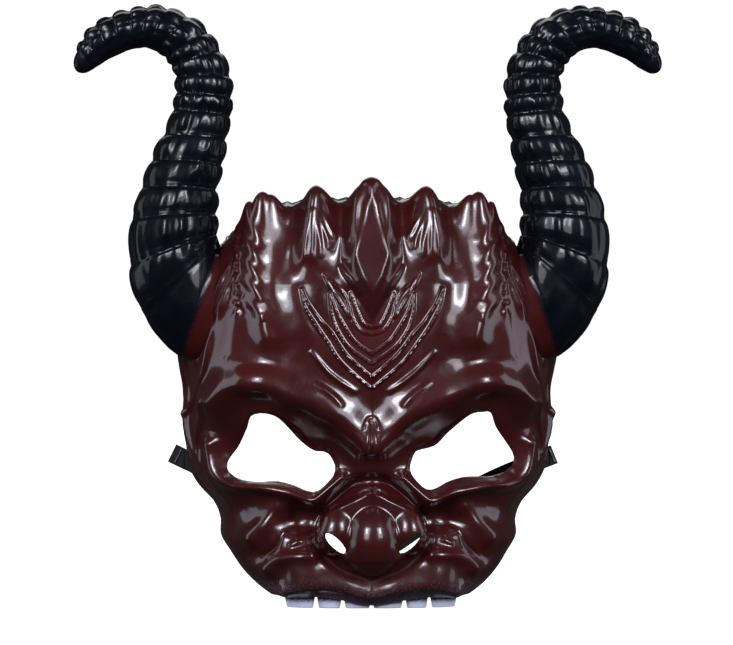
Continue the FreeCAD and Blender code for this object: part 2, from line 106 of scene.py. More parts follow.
# Ridges and valleys that fade out down the forehead: height, half width, line
CREST_LINES = [
    (4.4, 4.8, [(24, 124), (28, 106), (31, 80)]),
    (-3.2, 4.0, [(13.5, 124), (14.5, 104), (16, 80)]),
    (-3.4, 5.0, [(35.5, 122), (37.5, 104), (38, 80)]),
]
CREST_FADE = (80.0, 108.0)
# Blocks with straight bevels: height, bevel, one half of the outline
FOREHEAD = (4.6, 7.0, [(0, 142), (14, 124), (14, 104), (14.5, 92), (10, 80), (0, 64)])
SNOUT = (6.0, 2.5, [(0, -14), (4, -14.5), (10, -17.5), (20.5, -22), (25.5, -27), (25, -33), (21.5, -40),
                    (15, -45.5), (7.5, -51.4), (0, -53.3)])
# Domes of the nose: height, half width, half height, |x|, z
NOSE_DOMES = [(14.4, 12.5, 16.5, 0, -37), (10, 9.5, 11.5, 17, -33)]
# height, half width, half height, |x|, z
FORM_BUMPS = [
    (-6.5, 22, 11, 44, 4),  # eye socket
    (-7, 10, 6.5, 34, -27),  # cheek hollow
    (2.4, 11, 16, 37, 66),  # forehead panel
    (2, 8, 7, 52, 37),
    (2.2, 7, 7, 31, -50.5),
]
# Raised plates on the middle line: height, edge softness, one half of the outline
MIDDLE_PLATES = [
    (2.0, 1.8, [(0, 113.5), (3.2, 110.5), (5.6, 103), (8.6, 95), (10.6, 89.5), (9.8, 84), (6.5, 78),
                (2.3, 69), (0, 65.5)]),
    (1.3, 0.8, [(0, 124.5), (4.4, 120), (4.6, 116.5), (0, 112.5)]),
]
# Raised plates at the sides: height, edge softness, outline
SIDE_PLATES = [
    (1.3, 2.6, [(31.5, 119), (33, 108), (31.5, 91), (24.6, 90.2), (18.8, 95.9), (14.5, 103), (19, 118)]),
    (1.2, 2.6, [(70, 112), (46.5, 112), (46, 100), (46.5, 83), (44.5, 68), (70, 68)]),
    (1.2, 2.2, [(63.5, 66), (47.8, 66), (45.0, 56), (43.5, 46), (66, 45.5)]),
]
# Fine ridges: height, half width, line
RIDGES = [
    (1.4, 1.1, [(14.9, 89.5), (12.2, 85.2), (8.6, 79.7), (6, 75)]),  # barbs beside the shield
    (1.1, 1.2, [(12.8, 25.5), (18.6, 31), (26.8, 36.3)]),  # brow folds
    (1.3, 1.2, [(6.5, 31), (20, 40.5), (28.8, 50.4)]),
    (1.0, 1.0, [(-3, -13.8), (0, -13.5), (5, -14.6), (10, -18), (15.5, -20.5), (20.5, -22.5)]),
    (0.6, 1.3, [(28, 110), (30, 99), (31.2, 91)]),  # fan pleats
    (0.6, 1.2, [(27, 110), (26.8, 99), (27.4, 91)]),
    (0.6, 1.2, [(25.8, 110), (23.6, 99), (23.5, 92)]),
    (0.6, 1.2, [(24.6, 110), (20.5, 101), (19.6, 96)]),
    (0.6, 1.2, [(23.5, 111), (18.2, 104), (16.2, 101)]),
    (-1.2, 1.2, [(41, -33), (44, -40), (50, -45)]),  # cheek creases
    (1.0, 1.2, [(32, -36.5), (38, -39.5)]),
]
# Double-edged leaves: height, full width, line
LEAVES = [
    (1.3, 3.2, [(0, 59.5), (5, 61.5), (8.5, 68.5), (9.9, 76.5)]),
    (1.3, 3.4, [(10.6, 66), (14, 74.3), (18, 79.6), (21.8, 84.8)]),
    (1.5, 4.0, [(0, 46.4), (9, 53), (13.8, 59.5), (17.6, 67.5), (19.4, 76)]),
    (1.6, 4.2, [(0, 35.2), (12.6, 46.4), (20, 56.5), (25.5, 63.5), (30.2, 71.5), (32.2, 78)]),
]
# Creases and arch between the brows, which aren't mirrored
BROW_CREASES = [-1.5, 0.5]
BROW_ARCH = [(-3.6, 16.5), (-2.6, 19.3), (-0.5, 20.2), (1.6, 19.3), (2.6, 16.5)]
BEAD_LINE = [(60.5, 103.5), (60.8, 100), (60.8, 96.5), (60.6, 93), (60.6, 89), (60.8, 85.5), (61, 79),
             (61, 75.6), (61.2, 71), (61.2, 67)]
PLEAT_TOPS = [108, 99.5, 91, 82.5, 73.5]
# Small uneven waves over the whole face: height, width, seed, shift in x, shift in z
WAVES = [(0.42, 13.0, 5, 400, 400), (0.16, 5.5, 6, 90, 700)]
SIDE_SPAN = 125.0  # length round the face from the middle to a rim
# Long ribs down the sides: (length round from the middle, z)
SIDE_RIBS = [
    [(75, 64), (76, 44), (88, 28), (104, 15), (108, 4)],
    [(76, 32), (77, 22.5), (87.5, 5.5), (88, -8)],
    [(82, 93), (89, 79), (91.5, 67.6), (94.7, 51), (102, 41), (99.5, 17), (92, -8)],
    [(97, 86), (103, 66), (109, 46), (114, 24), (109, 2)],
    [(112, 86), (117, 60), (120, 34), (118, 12)],
    [(71, 92), (75, 80), (80, 66), (85, 52), (88, 38)],
    [(65, 98), (67, 86), (70, 74), (73, 62)],
]
RIB_HEIGHT = 1.8
RIB_WIDTH = 2.1
# The ribs fade in between these lengths round, and between these heights at the bottom and top
RIB_START = (60, 72)
RIB_BOTTOM = (-36, -20)
RIB_TOP = (106, 92)
RIM_FADE = (0.82, 0.57)  # the front relief fades in between these shares of the way to a rim
EYE_LEFT = [(-54.3, 20.2), (-43.8, 19.5), (-32.9, 8.5), (-26.5, 3.9), (-20.6, 3.1), (-17.4, -1.5),
            (-16.9, -5.2), (-19.2, -9.3), (-26.5, -14.8), (-36.1, -11.7), (-43.8, -10.1), (-52, -10.7),
            (-60.3, -9.7), (-65.3, -6.7), (-65.8, -2.1), (-60.7, 5.5), (-57.1, 13.6)]
EYE_RIGHT = [(45.1, 20.2), (51.7, 21.4), (55, 20.9), (57.5, 14.3), (62.5, 7), (65.9, 1.7), (66.4, -1.1),
             (64.4, -5.6), (55.7, -8.4), (43.9, -8.4), (35.9, -10.1), (26.6, -14), (20.5, -9.8), (17.5, -4.4),
             (19.3, 2), (21.1, 3.9), (29.4, 6.1), (35.8, 12.5)]
NOSTRIL = (17.0, -37.5, 6.6, 2.2, math.radians(45))  # |x|, z, half length, half width, slant
SLOT = (-4.4, 15.2, 2.4)  # z, height, width
# The openings go through these parts of the shell only
EYE_BEFORE = -12  # y
NOSTRIL_BEFORE = -45  # y
SLOT_BEYOND = 70  # |x|
# Grid steps: across the face (|x| below 36, below 64, beyond) and up it (in front of y -44, behind)
STEPS_ACROSS = (0.52, 0.62, 1.15)
STEPS_UP = (0.55, 1.1)
COARSE = 4  # the inner grid has every fourth line of the outer one

# ---- horns, as in the CAD
HORN_STATIONS = [
    ((71, 94), (88.3, 46)), ((70.5, 97), (104, 63)), ((71, 100.5), (110.5, 81)),
    ((71.2, 105.5), (111.5, 97)), ((71.3, 113), (110.5, 111)), ((71, 123), (106, 124)),
    ((68, 137), (100.3, 139)), ((65.7, 151), (93.3, 153)), ((64.2, 164), (89.8, 166)),
    ((64.8, 177), (89.2, 176)), ((70.8, 191), (92.3, 182.5)), ((80.3, 202.2), (96.8, 187)),
    ((95.3, 208.5), (103.3, 189.5)), ((110, 207.7), (109, 189.3)), ((121, 204.3), (115.5, 187)),
    ((130.5, 197.8), (122, 183.8)), ((135.5, 189.5), (127, 180.3)), ((137.3, 182.5), (130.8, 178)),
    ((136.7, 178.6), (133.6, 177.2))]
HORN_SPIGOT = 11.0
HORN_ROOT_DEPTH = 16.0
HORN_ROOT_Y = -26.0
HORN_LEAN = 0.10
HORN_WALL = 1.5
HORN_CAP = 0.7  # rounded end of the tip, in stations
# Stations of the joints between rings
RING_JOINTS = [1.3, 2.5, 4.0, 5.1, 5.9, 6.73, 7.57, 8.2, 8.97, 9.8, 10.5, 11.3, 11.95, 12.55, 13.15, 13.95,
               14.7, 15.5, 16.3]

# ---- teeth and strap
TOOTH_SPANS = [(-39.9, -25.9), (-25.2, -13.6), (-13, -0.1), (-0.1, 14.6), (15.2, 26.1), (26.8, 39.6)]
TOOTH_THICK = 2.2
TOOTH_TIP = -68.4
TOOTH_ROOT = -60.0
# Section of the gum shelf: depth behind the lip, z
GUM_SECTION = [(0, -61), (2.6, -61), (2.9, -59.2), (2.6, -57.4), (0, -57.4), (-0.2, -59.2)]
STRAP_ROUTE = [(-84, -4.7), (-76, -8.6), (-69, -14.5), (-61, -23.5), (-50, -36), (-37, -47), (-22, -54),
               (-6, -53.6), (8, -47.2), (20, -39.3), (33, -29.5), (47, -20), (61, -13), (73, -8), (84, -3.6)]
BAND_END = 78.5  # |x| of the band's upright end faces
STRAP_WIDTH = 9.0
STRAP_THICK = 0.9
ELASTIC_RIB = 0.9  # between the ribs of the elastic
ELASTIC_COURSE = 0.7  # between its courses


# ---- lines, noise and grids
def spline_rows(table, t):
    """Catmull-Rom rows of a table at positions t."""
    table = np.asarray(table, float)
    last = len(table) - 1
    i = np.clip(np.floor(t).astype(int), 0, last - 1)
    f = (t - i)[:, None]
    a, b, c, d = (table[np.clip(i + k, 0, last)] for k in (-1, 0, 1, 2))
    linear = 2 * b + (c - a) * f
    return 0.5 * (linear + (2 * a - 5 * b + 4 * c - d) * f ** 2 + (3 * b - a - 3 * c + d) * f ** 3)


def smooth_line(points, steps=8, closed=False):
    """Denser points on a smooth curve through the given ones."""
    points = np.array(points, float)
    if closed:
        rows = np.vstack([points[-2:], points, points[:3]])
        return spline_rows(rows, np.arange(2 * steps, (len(points) + 2) * steps) / steps)
    return spline_rows(points, np.arange((len(points) - 1) * steps + 1) / steps)


def lengths_along(line):
    """Length along a line to each of its points."""
    return np.append(0, np.cumsum(np.linalg.norm(np.diff(line, axis=0), axis=1)))


def mirrored(half):
    """Closed outline from one half of it, which starts and ends on the middle line."""
    return half + [(-x, z) for x, z in half[-2:0:-1]]


def rise(value, zero_at, one_at):
    """Straight rise from 0 to 1 between two values, held at both ends."""
    return np.clip((value - zero_at) / (one_at - zero_at), 0, 1)


def eased(share):
    """A share from 0 to 1 with soft ends."""
    return share * share * (3 - 2 * share)


def squared_round(count, cos_power, sin_power):
    """Cosines and sines round a circle, bent towards a rectangle with rounded corners."""
    turn = np.linspace(0, 2 * math.pi, count, endpoint=False)
    cos = np.cos(turn)
    sin = np.sin(turn)
    return np.sign(cos) * np.abs(cos) ** cos_power, np.sign(sin) * np.abs(sin) ** sin_power


def along_line(a, b, line):
    """Distance of each point from a line, the share of its length at the nearest place, and that place."""
    best = np.full(a.shape, 1e9)
    share = np.zeros(a.shape)
    place = np.zeros(a.shape + (2,))
    runs = np.hypot(*np.diff(line, axis=0).T)
    done = 0.0
    for (a0, b0), (a1, b1), run in zip(line, line[1:], runs):
        s = np.clip(((a - a0) * (a1 - a0) + (b - b0) * (b1 - b0)) / run ** 2, 0, 1)
        near_a = a0 + s * (a1 - a0)
        near_b = b0 + s * (b1 - b0)
        distance = np.hypot(a - near_a, b - near_b)
        closer = distance < best
        best[closer] = distance[closer]
        share[closer] = (done + s[closer] * run) / runs.sum()
        place[closer, 0] = near_a[closer]
        place[closer, 1] = near_b[closer]
        done += run
    return best, share, place


def outline_distance(a, b, outline):
    """Distance from a closed outline, negative inside it."""
    closed = np.vstack([outline, outline[:1]])
    distance = along_line(a, b, closed)[0]
    inside = np.zeros(a.shape, bool)
    for (a0, b0), (a1, b1) in zip(closed, closed[1:]):
        if b0 != b1:
            inside ^= ((b0 > b) != (b1 > b)) & (a < (a1 - a0) * (b - b0) / (b1 - b0) + a0)
    return np.where(inside, -distance, distance)


def lumps(a, b, cell, seed):
    """Smooth random values between -1 and 1, with features about one cell wide."""
    table = np.random.default_rng(seed).uniform(-1, 1, (64, 64))
    i = np.floor(a / cell).astype(int)
    j = np.floor(b / cell).astype(int)
    f = eased(a / cell - i)
    g = eased(b / cell - j)
    low, high = (table[k % 64, j % 64] * (1 - g) + table[k % 64, (j + 1) % 64] * g for k in (i, i + 1))
    return low * (1 - f) + high * f


def evenly(curve, spacing):
    """Parameters from 0 to 1 that step along a curve by about spacing(point)."""
    p = np.linspace(0, 1, 2001)
    points = curve(p)
    steps = np.linalg.norm(np.diff(points, axis=0), axis=1)
    wanted = np.array([spacing(point) for point in points[1:]])
    count = np.append(0, np.cumsum(steps / wanted))
    return np.interp(np.linspace(0, count[-1], int(round(count[-1])) + 1), count, p)


def grid_normals(points):
    """Unit normals of a grid of points."""
    normal = np.cross(np.gradient(points, axis=0), np.gradient(points, axis=1))
    return normal / np.linalg.norm(normal, axis=2, keepdims=True)


# ---- closed sheets from two grids
def grid_quads(shape, keep, first):
    """Quads of a grid, where kept, numbered from a first vertex."""
    i, j = np.nonzero(keep)
    corner = first + i * shape[1] + j
    return np.stack([corner, corner + shape[1], corner + shape[1] + 1, corner + 1], axis=1)


def edge_loops(quads):
    """Vertex loops along the edges that only one face has."""
    start = quads.ravel()
    end = np.roll(quads, -1, axis=1).ravel()
    size = quads.max() + 1
    alone = ~np.isin(start * size + end, end * size + start)
    following = dict(zip(start[alone].tolist(), end[alone].tolist()))
    loops = []
    while following:
        first, vertex = following.popitem()
        loop = [first]
        while vertex != first:
            loop.append(vertex)
            vertex = following.pop(vertex)
        loops.append(loop)
    return loops


def bridge(points, outer, inner):
    """Triangles between two loops that run the same way round."""
    nearest = np.argmin(np.linalg.norm(points[inner] - points[outer[0]], axis=1))
    inner = inner[nearest:] + inner[:nearest]
    shares = []
    for loop in (outer, inner):
        lengths = lengths_along(points[loop + loop[:1]])
        shares.append(lengths / lengths[-1])
    outer = outer + outer[:1]
    inner = inner + inner[:1]
    i = 0
    j = 0
    faces = []
    while i < len(outer) - 1 or j < len(inner) - 1:
        if j == len(inner) - 1 or (i < len(outer) - 1 and shares[0][i + 1] <= shares[1][j + 1]):
            faces.append((outer[i + 1], outer[i], inner[j]))
            i += 1
        else:
            faces.append((outer[i], inner[j], inner[j + 1]))
            j += 1
    return faces


def all_quads(grid):
    """Keeps every quad of a grid."""
    return np.ones((grid.shape[0] - 1, grid.shape[1] - 1), bool)


def closed_sheet(outer, inner, keep_outer, keep_inner):
    """Solid between two grids with rims round every opening: points, faces, number of outer faces."""
    points = np.vstack([outer.reshape(-1, 3), inner.reshape(-1, 3)])
    front = grid_quads(outer.shape, keep_outer, 0)
    back = grid_quads(inner.shape, keep_inner, outer.shape[0] * outer.shape[1])
    rims = []
    back_loops = edge_loops(back)
    for loop in edge_loops(front):
        middle = points[loop].mean(axis=0)
        partner = min(back_loops, key=lambda other: np.linalg.norm(points[other].mean(axis=0) - middle))
        rims += bridge(points, loop, partner)
    return points, front.tolist() + back[:, ::-1].tolist() + rims, len(front)


def signed_volume(points, faces):
    """Six times the volume inside closed faces; negative when they face inwards."""
    total = 0.0
    for size in {len(face) for face in faces}:
        corners = points[np.array([face for face in faces if len(face) == size])]
        for i in range(1, size - 1):
            total += np.sum(corners[:, 0] * np.cross(corners[:, i], corners[:, i + 1]))
    return total


def make_mesh(name, points, faces, materials, face_slots=None, sharp=50.0):
    """New object from points in millimetres; unused points are dropped and faces turned outwards."""
    if signed_volume(points, faces) < 0:
        faces = [face[::-1] for face in faces]
    used = sorted({int(v) for face in faces for v in face})
    number = {old: new for new, old in enumerate(used)}
    mesh = bpy.data.meshes.new(name)
    mesh.from_pydata((points[used] * MM).tolist(), [], [[number[v] for v in face] for face in faces])
    for material in materials:
        mesh.materials.append(material)
    if face_slots is not None:
        mesh.polygons.foreach_set("material_index", np.asarray(face_slots, dtype=np.int32))
    mesh.update()
    mesh.shade_smooth()
    mesh.set_sharp_from_angle(angle=math.radians(sharp))
    obj = bpy.data.objects.new(name, mesh)
    bpy.context.scene.collection.objects.link(obj)
    return obj, used


def add_value(obj, name, values):
    """Stores one number per vertex for the materials to read."""
    attribute = obj.data.attributes.new(name, "FLOAT", "POINT")
    attribute.data.foreach_set("value", np.ascontiguousarray(values, dtype=np.float32))


# ---- materials
def new_material(name):
    """Node material, its Principled shader and a helper that adds linked nodes."""
    material = bpy.data.materials.new(name)
    material.use_nodes = True
    tree = material.node_tree
    shader = tree.nodes["Principled BSDF"]

    def add(kind, inputs=None, **settings):
        node = tree.nodes.new(kind)
        for key, value in settings.items():
            setattr(node, key, value)
        for key, value in (inputs or {}).items():
            if isinstance(value, bpy.types.NodeSocket):
                tree.links.new(value, node.inputs[key])
            else:
                node.inputs[key].default_value = value
        return node

    return material, shader, add


def surface(shader, colour, roughness, normal):
    """Feeds the shader's colour, roughness and normal."""
    for name, output in (("Base Color", colour), ("Roughness", roughness), ("Normal", normal)):
        shader.id_data.links.new(output, shader.inputs[name])


def noise(add, scale, detail=3.0, roughness=0.5):
    """Noise in the object's own metres; scale is features per metre."""
    where = add("ShaderNodeTexCoord").outputs["Object"]
    return add("ShaderNodeTexNoise", {"Vector": where, "Scale": scale, "Detail": detail,
                                      "Roughness": roughness}).outputs["Fac"]


def ramp(add, value, low, high, low_out=0.0, high_out=1.0):
    """A value scaled from one range to another and held inside it."""
    return add("ShaderNodeMapRange", {"Value": value, "From Min": low, "From Max": high,
                                      "To Min": low_out, "To Max": high_out}).outputs["Result"]


def patches(add, scale, low_out=0.0, high_out=1.0, detail=3.0, top=0.7):
    """A value that drifts between two limits in soft patches."""
    return ramp(add, noise(add, scale, detail), 0.3, top, low_out, high_out)


def maths(add, operation, first, second=0.0):
    """Result of one sum on two values."""
    return add("ShaderNodeMath", {0: first, 1: second}, operation=operation).outputs[0]


def mix_colour(add, share, first, second):
    """The first colour where the share is 0, the second where it is 1."""
    node = add("ShaderNodeMix", data_type="RGBA")
    for key, value in ((0, share), (6, first), (7, second)):
        if isinstance(value, bpy.types.NodeSocket):
            node.id_data.links.new(value, node.inputs[key])
        else:
            node.inputs[key].default_value = value
    return node.outputs[2]


def bump(add, height, distance, strength, under=None):
    """Normal from a height, on top of another bump if one is given; distance is in metres."""
    inputs = {"Height": height, "Distance": distance, "Strength": strength}
    if under is not None:
        inputs["Normal"] = under
    return add("ShaderNodeBump", inputs).outputs["Normal"]


def attribute(add, name):
    """Number stored on the mesh under a name."""
    return add("ShaderNodeAttribute", attribute_name=name).outputs["Fac"]


def gloss_coat(shader, weight, roughness, specular):
    """Clear glossy skin over plastic."""
    shader.inputs["Coat Weight"].default_value = weight
    shader.inputs["Coat Roughness"].default_value = roughness
    shader.inputs["Coat IOR"].default_value = 1.5
    shader.inputs["Specular IOR Level"].default_value = specular


def maroon_paint():
    """Gloss maroon sprayed over black plastic; black shows through towards the horns and crown. Towards the
    lip's lower edge the paint is darkened as painted shade where the lip rolls under, with grey overspray
    specks over the same band.
    """
    material, shader, add = new_material("maroon_paint")
    paint = mix_colour(add, patches(add, 28.0), (0.036, 0.0042, 0.0042, 1), (0.056, 0.0065, 0.0055, 1))
    speckle = noise(add, 1500.0, 2.0, 0.6)
    bare = maths(add, "SUBTRACT", attribute(add, "bare"), maths(add, "MULTIPLY", speckle, 0.9))
    colour = mix_colour(add, ramp(add, bare, -0.30, 0.0), paint, (0.0035, 0.0042, 0.0065, 1))
    # Lip edge share: darker maroon there is painted shade where the lip rolls under; the grey specks over the
    # same band are overspray, the paint's own colour.
    lip_shade_and_overspray = attribute(add, "lip_shade_and_overspray")
    colour = mix_colour(add, maths(add, "MULTIPLY", lip_shade_and_overspray, 0.6), colour, (0.014, 0.0035, 0.004, 1))
    specks = maths(add, "SUBTRACT", maths(add, "MULTIPLY", lip_shade_and_overspray, 0.75), noise(add, 2300.0, 1.0))
    colour = mix_colour(add, ramp(add, specks, -0.02, 0.12), colour, (0.15, 0.10, 0.14, 1))
    worn = patches(add, 90.0, 0.26, 0.42, 4.0, 0.75)
    roughness = maths(add, "ADD", worn, maths(add, "MULTIPLY", lip_shade_and_overspray, 0.25))
    peel = bump(add, noise(add, 420.0, 2.0), 0.0002, 0.5)
    gloss_coat(shader, 1.0, 0.13, 0.25)
    surface(shader, colour, roughness, bump(add, speckle, 0.00008, 0.2, peel))
    return material


def raw_plastic():
    """Unpainted black inside of the moulding."""
    material, shader, add = new_material("raw_black_plastic")
    colour = mix_colour(add, patches(add, 60.0), (0.010, 0.011, 0.013, 1), (0.020, 0.021, 0.024, 1))
    roughness = patches(add, 160.0, 0.32, 0.5)
    surface(shader, colour, roughness, bump(add, noise(add, 900.0), 0.0002, 0.3))
    return material


def horn_plastic():
    """Glossy blue-black of the horns, with maroon overspray at the roots."""
    material, shader, add = new_material("horn_black_plastic")
    tone = patches(add, 70.0, detail=4.0)
    black = mix_colour(add, tone, (0.0016, 0.0024, 0.0045, 1), (0.0034, 0.0048, 0.0090, 1))
    speckle = maths(add, "MULTIPLY", noise(add, 1500.0, 2.0), 0.9)
    painted = ramp(add, maths(add, "SUBTRACT", attribute(add, "painted"), speckle), -0.1, 0.25)
    colour = mix_colour(add, painted, black, (0.046, 0.0053, 0.0050, 1))
    roughness = patches(add, 120.0, 0.24, 0.45, 4.0, 0.75)
    peel = bump(add, noise(add, 380.0, 3.0), 0.0003, 0.3)
    gloss_coat(shader, 0.36, 0.10, 0.12)
    surface(shader, colour, roughness, bump(add, noise(add, 1600.0, 2.0), 0.00006, 0.3, peel))
    return material


def tooth_plastic():
    """Bluish white teeth with dark overspray at the gum."""
    material, shader, add = new_material("tooth_plastic")
    enamel = mix_colour(add, patches(add, 150.0), (0.58, 0.63, 0.84, 1), (0.74, 0.79, 0.95, 1))
    spray = maths(add, "SUBTRACT", attribute(add, "spray"), noise(add, 2200.0, 2.0, 0.6))
    colour = mix_colour(add, ramp(add, spray, -0.22, 0.12), enamel, (0.030, 0.012, 0.016, 1))
    roughness = patches(add, 300.0, 0.3, 0.45)
    surface(shader, colour, roughness, bump(add, noise(add, 700.0), 0.0002, 0.3))
    return material


def knitted_elastic():
    """Flat black elastic: ribs along the band crossed by fine courses, with the yarn painted darker in the
    grooves and lighter on the tops as painted shade.
    """
    material, shader, add = new_material("knitted_elastic")
    rib, course = (maths(add, "SINE", maths(add, "MULTIPLY", attribute(add, name), 2 * math.pi / pitch))
                   for name, pitch in (("across", ELASTIC_RIB), ("along", ELASTIC_COURSE)))
    knit = maths(add, "ADD", rib, maths(add, "MULTIPLY", course, maths(add, "ABSOLUTE", rib)))
    fuzz = noise(add, 3000.0, 2.0)
    # Yarn colour follows the knit's height: darker in the grooves, lighter on the tops, as painted shade.
    yarn_with_groove_shade = mix_colour(add, ramp(add, knit, -1.2, 1.6), (0.003, 0.003, 0.004, 1), (0.020, 0.021, 0.024, 1))
    colour = mix_colour(add, ramp(add, fuzz, 0.45, 0.8), yarn_with_groove_shade, (0.035, 0.035, 0.04, 1))
    roughness = ramp(add, fuzz, 0.2, 0.8, 0.75, 0.95)
    shader.inputs["Sheen Weight"].default_value = 0.25
    surface(shader, colour, roughness, bump(add, knit, 0.00018, 0.8, bump(add, fuzz, 0.0001, 0.4)))
    return material


def steel():
    """Plain staple wire with drawing marks."""
    material, shader, add = new_material("staple_steel")
    shader.inputs["Metallic"].default_value = 1.0
    colour = mix_colour(add, patches(add, 900.0, detail=4.0), (0.42, 0.42, 0.43, 1), (0.62, 0.62, 0.63, 1))
    roughness = patches(add, 2500.0, 0.25, 0.45)
    surface(shader, colour, roughness, bump(add, noise(add, 3000.0), 0.00004, 0.4))
    return material


def pale_floor():
    """Matt off-white floor with a little light of its own, so that it stays pale far from the lamps."""
    material, shader, add = new_material("pale_floor")
    colour = mix_colour(add, patches(add, 3.0), (0.90, 0.90, 0.90, 1), (0.93, 0.93, 0.93, 1))
    material.node_tree.links.new(colour, shader.inputs["Base Color"])
    shader.inputs["Roughness"].default_value = 0.9
    shader.inputs["Emission Color"].default_value = (1, 1, 1, 1)
    shader.inputs["Emission Strength"].default_value = 1.0
    return material


# ---- face shell
def plain_face(us, ts):
    """Grid of points of the plain face; u runs -1 to 1 from rim to rim and t up through the stations."""
    z_mid, y_mid, half, y_rim, z_rim = spline_rows(FACE_STATIONS, ts).T[:, None, :]
    angle = us[:, None] * math.pi / 2
    full = 1 + SQUARENESS * np.sin(2 * angle) ** 2
    across = np.sin(angle) * full
    y = y_rim + (y_mid - y_rim) * np.cos(angle) * full
    z = z_rim + (z_mid - z_rim) * (1 - np.minimum(1, np.abs(across)) ** 4)
    x = half * across
    z = z + LIP_RISE * x ** 2 / (x ** 2 + LIP_HALF ** 2) * np.maximum(0, 1 - ts / LIP_STATIONS) ** 2
    return np.stack([x, y, z], axis=2)


def paint_border(z):
    """|x| where the maroon gives way to black, towards the horns."""
    return 70 + 0.348 * (95 - z)


class Relief:
    """Height field over face points seen from the front; lines are mirrored through |x|."""

    def __init__(self, x, z):
        self.side = np.abs(x + 0.5 * lumps(x + 300, z + 300, 17.0, 3))
        self.z = z + 0.5 * lumps(x + 500, z + 200, 15.0, 4)
        self.height = np.zeros(x.shape)

    def near(self, line, reach):
        """Points within reach of a line's bounding box."""
        low = np.min(line, axis=0) - reach
        high = np.max(line, axis=0) + reach
        return (self.side > low[0]) & (self.side < high[0]) & (self.z > low[1]) & (self.z < high[1])

    def beside(self, points, reach):
        """Which points are near a smooth line, their distances from it and their places along it."""
        line = smooth_line(points)
        mask = self.near(line, reach)
        distance, share, _ = along_line(self.side[mask], self.z[mask], line)
        return mask, distance, share

    def ridge(self, amount, width, points, taper=0.0):
        """Rounded ridge, or a groove for a negative amount; it fades over the share taper of its length."""
        mask, distance, share = self.beside(points, 3 * width)
        fade = rise(np.minimum(share, 1 - share), 0, taper) ** 0.5 if taper else 1.0
        self.height[mask] += amount * fade * np.exp(-(distance / width) ** 2)

    def leaf(self, amount, width, points):
        """Raised strip with a bright edge each side that narrows to a point at its upper end."""
        mask, distance, share = self.beside(points, 2 * width)
        half = width / 2 * np.clip((1 - share) / 0.45, 0.05, 1) ** 0.7
        if points[0][0] > 5:
            half *= np.clip(share / 0.35, 0.1, 1) ** 0.7
        edge = np.exp(-((distance - half) / 0.55) ** 2)
        body = 1 / (1 + np.exp((distance - half) / 0.3))
        groove = np.exp(-(distance / (width * 0.75)) ** 2)
        self.height[mask] += amount * (0.6 * edge + 0.25 * body - 0.45 * groove)

    def block(self, amount, bevel, half):
        """Height over the face of a flat-topped block with bevelled edges, from one half of its outline."""
        outline = np.array(mirrored(half), float)
        height = np.zeros(self.side.shape)
        mask = self.near(outline, 0)
        share = np.clip(-outline_distance(self.side[mask], self.z[mask], outline) / bevel, 0, 1)
        height[mask] = amount * (0.5 * share + 0.5 * eased(share))
        return height

    def spread(self, half_x, half_z, x, z):
        """0 at the middle of an ellipse and 1 on it."""
        return ((self.side - x) / half_x) ** 2 + ((self.z - z) / half_z) ** 2

    def dome(self, amount, half_x, half_z, x, z):
        """Height over the face of a steep-sided dome."""
        return amount * np.maximum(0, 1 - self.spread(half_x, half_z, x, z)) ** 0.6

    def bump(self, amount, half_x, half_z, x, z, power=1.4):
        """Soft swelling, or a hollow for a negative amount."""
        self.height += amount * np.exp(-self.spread(half_x, half_z, x, z) ** power)

    def plate(self, amount, soft, outline):
        """Raised plate with a soft edge."""
        outline = np.array(outline, float)
        mask = self.near(outline, 6 * soft)
        distance = outline_distance(self.side[mask], self.z[mask], outline)
        self.height[mask] += amount / (1 + np.exp(distance / (soft * 0.4)))


def large_forms(x, z):
    """Smooth part of the relief, which the inside follows too."""
    relief = Relief(x, z)
    for form in FORM_LINES:
        relief.ridge(*form)
    before = relief.height.copy()
    for crest in CREST_LINES:
        relief.ridge(*crest)
    relief.height = before + (relief.height - before) * rise(relief.z, *CREST_FADE)
    for swelling in FORM_BUMPS:
        relief.bump(*swelling)
    relief.height += relief.block(*FOREHEAD)
    nose = [relief.block(*SNOUT)] + [relief.dome(*dome) for dome in NOSE_DOMES]
    relief.height += sum(part ** 4 for part in nose) ** 0.25
    return relief


def fine_relief(x, z, eyes):
    """Whole relief of the outside."""
    relief = large_forms(x, z)
    for amount, soft, half in MIDDLE_PLATES:
        relief.plate(amount, soft, mirrored(half))
    for plate in SIDE_PLATES:
        relief.plate(*plate)
    for fine_ridge in RIDGES:
        relief.ridge(*fine_ridge, taper=0.3)
    for leaf in LEAVES:
        relief.leaf(*leaf)
    for top in PLEAT_TOPS:
        relief.ridge(0.95, 2.2, [(58.5, top), (53.0, top - 4.0), (48.0, top - 11.0)], taper=0.35)
    for side, height in BEAD_LINE:
        relief.bump(1.1, 1.6, 1.5, side, height, power=1.0)
    for offset in BROW_CREASES:
        crease = smooth_line([(offset - 0.3, 18.5), (offset, 14), (offset, 4.5)])
        distance = along_line(x, z, crease)[0]
        relief.height += 0.9 * np.exp(-(distance / 0.6) ** 2)
    distance = along_line(x, z, smooth_line(BROW_ARCH))[0]
    relief.height += 0.8 * np.exp(-(distance / 0.7) ** 2)
    for outline in eyes:
        distance = np.maximum(0, outline_distance(x, z, outline))
        relief.height -= 0.9 * np.exp(-(distance / 1.2) ** 2)
    relief.height += sum(amount * lumps(x + shift_x, z + shift_z, width, seed)
                         for amount, width, seed, shift_x, shift_z in WAVES)
    return relief.height


def lift_spikes(points, ts):
    """Pulls the spikes up out of the crest line."""
    lift = np.zeros(points.shape[:2])
    for offset, height, half in CREST_SPIKES:
        spread = np.abs((np.abs(points[..., 0]) - offset) / half) ** SPIKE_POWER
        reach = np.abs((ts[None, :] - CREST_STATION) / SPIKE_DEPTH) ** 2
        lift = np.maximum(lift, height * np.exp(-spread - reach))
    return np.stack([0 * lift, -SPIKE_FORWARD * lift, lift], axis=2)


